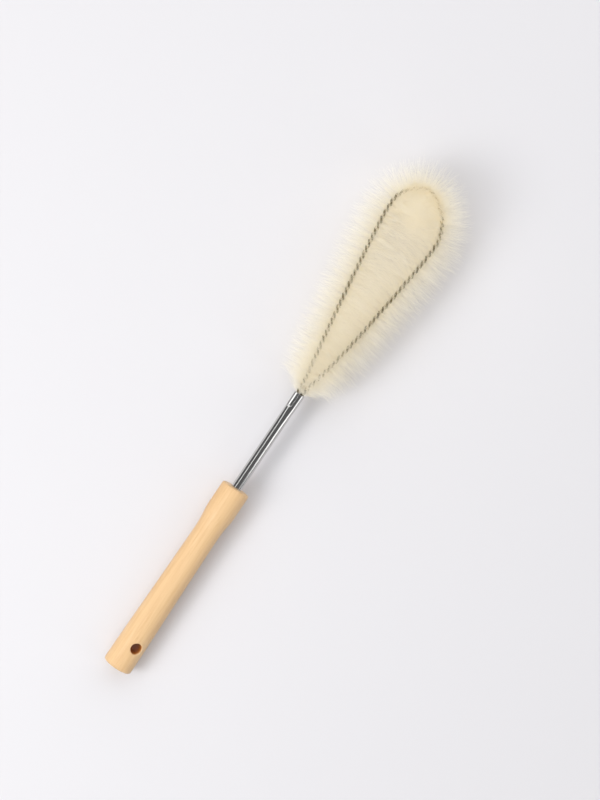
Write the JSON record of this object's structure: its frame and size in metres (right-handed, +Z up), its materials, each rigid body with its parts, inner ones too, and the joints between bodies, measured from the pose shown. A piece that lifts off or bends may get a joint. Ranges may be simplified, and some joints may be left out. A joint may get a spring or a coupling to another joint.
{
  "type": "bottle brush",
  "caption": "Long-handled bottle brush with a turned wooden handle, a steel stem and a teardrop loop of twisted wire set with soft filaments.",
  "frame": {"origin": "on the table under the middle of the brush's bounding box, as the brush lies at rest", "axes": "+X along the brush from the butt of the handle to the crown of the loop, +Y to the left of that, +Z up from the table"},
  "size_m": [0.3524, 0.0762, 0.0419],
  "materials": {
    "handle": "pale close-grained wood, turned and sanded smooth, under clear satin lacquer",
    "stem": "bright polished stainless tube, crimped at its mouth",
    "wire": "drawn stainless wire, twisted in a pair",
    "bristles": "soft cream nylon filament, translucent"
  },
  "bodies": {
    "root": {"handle": "handle", "stem_tube": "stem", "wire_strand_a": "wire", "wire_strand_b": "wire", "bristles": "bristles"}
  },
  "joints": []
}
